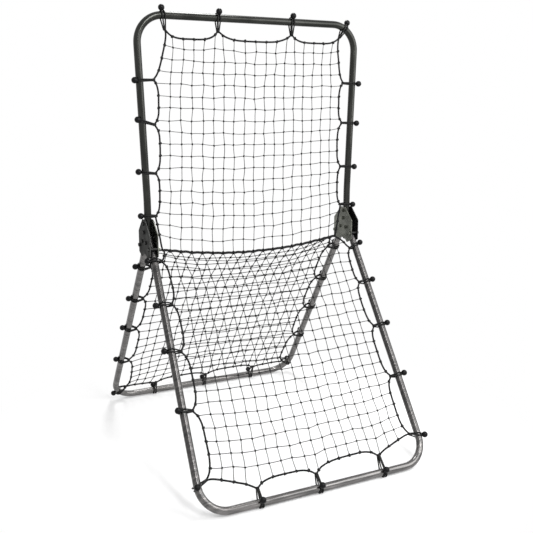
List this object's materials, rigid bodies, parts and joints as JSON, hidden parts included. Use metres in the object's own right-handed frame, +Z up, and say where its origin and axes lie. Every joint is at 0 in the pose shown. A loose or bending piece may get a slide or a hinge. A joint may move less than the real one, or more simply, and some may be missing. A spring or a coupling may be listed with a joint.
{
  "type": "pitch back rebounder",
  "caption": "Folding pitch back rebounder: bent tube frames with black nets tied on by ball bungees, an upright frame over two leg frames that swing on steel hubs.",
  "frame": {"origin": "on the floor, under the middle of the open stand", "axes": "+X across the width, to the right as seen from the front; +Y from the front bar to the back bar; +Z up"},
  "size_m": [0.9964, 1.2543, 1.7348],
  "materials": {
    "frame_tube": "gloss",
    "hub_plate": "satin",
    "fastener": "satin",
    "stop_sleeve": "satin",
    "pivot_bush": "matte",
    "end_plug": "matte",
    "net": "matte",
    "rope": "matte",
    "bungee_cord": "matte",
    "bungee_ball": "gloss"
  },
  "bodies": {
    "upper_frame": {"upper_frame_tube": "frame_tube", "left_hub_outer_plate": "hub_plate", "left_hub_inner_plate": "hub_plate", "right_hub_inner_plate": "hub_plate", "right_hub_outer_plate": "hub_plate", "upper_tube_bolts": "fastener", "upper_tube_nuts": "fastener", "leg_pivot_bolts": "fastener", "leg_pivot_nuts": "fastener", "leg_stop_bolts": "fastener", "leg_stop_nuts": "fastener", "leg_stop_sleeves": "stop_sleeve", "upper_end_plugs": "end_plug", "net_fold_rope": "rope", "upper_net": "net", "upper_side_bungee_cords": "bungee_cord", "upper_side_bungee_balls": "bungee_ball", "upper_top_bungee_cords": "bungee_cord", "upper_top_bungee_balls": "bungee_ball"},
    "front_leg_frame": {"front_frame_tube": "frame_tube", "front_pivot_bushes": "pivot_bush", "front_end_plugs": "end_plug", "front_net": "net", "front_side_bungee_cords": "bungee_cord", "front_side_bungee_balls": "bungee_ball", "front_floor_bungee_cords": "bungee_cord", "front_floor_bungee_balls": "bungee_ball"},
    "back_leg_frame": {"back_frame_tube": "frame_tube", "back_pivot_bushes": "pivot_bush", "back_end_plugs": "end_plug", "back_net": "net", "back_side_bungee_cords": "bungee_cord", "back_side_bungee_balls": "bungee_ball", "back_floor_bungee_cords": "bungee_cord", "back_floor_bungee_balls": "bungee_ball"}
  },
  "joints": [
    {"name": "front_leg_fold", "type": "hinge", "parent": "upper_frame", "child": "front_leg_frame", "pos_m": [0, -0.022, 0.86015], "axis": [1, 0, 0], "range_deg": [0, 34.2]},
    {"name": "back_leg_fold", "type": "hinge", "parent": "upper_frame", "child": "back_leg_frame", "pos_m": [0, 0.022, 0.86015], "axis": [-1, 0, 0], "range_deg": [0, 34.2]}
  ]
}
